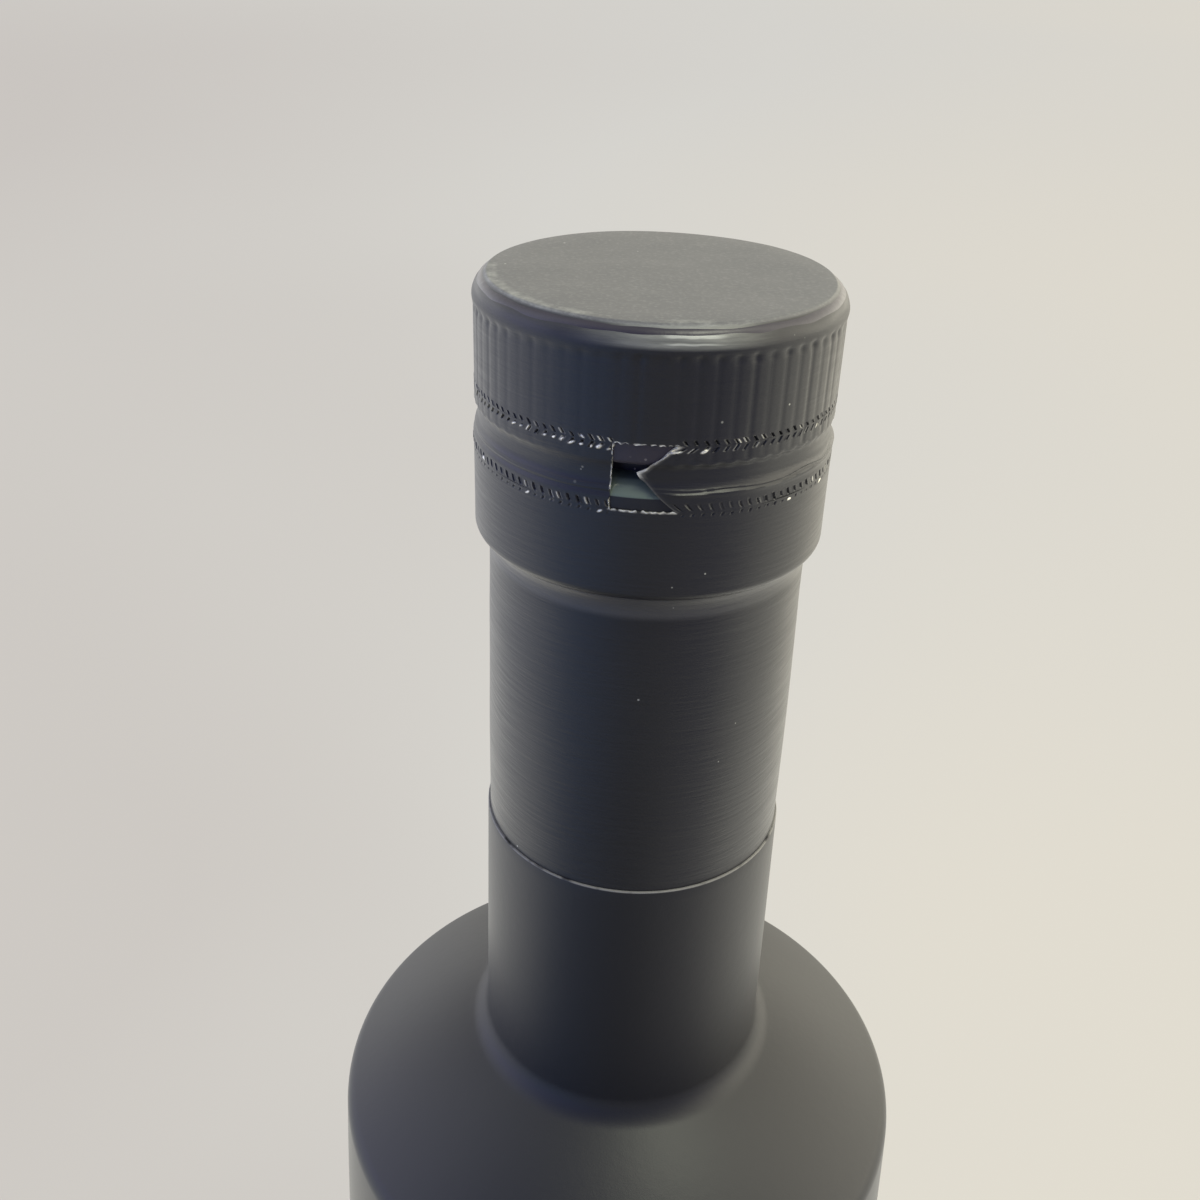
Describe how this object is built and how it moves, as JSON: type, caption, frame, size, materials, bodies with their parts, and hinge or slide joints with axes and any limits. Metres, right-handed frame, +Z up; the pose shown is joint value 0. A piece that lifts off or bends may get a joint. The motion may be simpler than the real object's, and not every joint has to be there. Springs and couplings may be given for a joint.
{
  "type": "sealed whisky bottle",
  "caption": "Tall round bottle of spirit in opaque dark coated glass, with a sloping shoulder, a long neck and a tear-off foil capsule over its stopper.",
  "frame": {"origin": "centre of the base, on the surface the bottle stands on", "axes": "+Z up along the bottle; -Y towards the cut end of the tear band"},
  "size_m": [0.0734, 0.0734, 0.316],
  "materials": {
    "coated_glass": "opaque satin black coat on glass; the hidden finish ring is bare green-grey glass",
    "stopper_plastic": "smooth dark plastic",
    "lacquered_foil": "satin black lacquer on soft aluminium, worn grey on the flat top and bare metal at the perforations"
  },
  "bodies": {
    "root": {"bottle": "coated_glass", "stopper": "stopper_plastic", "capsule_top": "lacquered_foil", "tear_band": "lacquered_foil", "capsule_skirt": "lacquered_foil"}
  },
  "joints": []
}
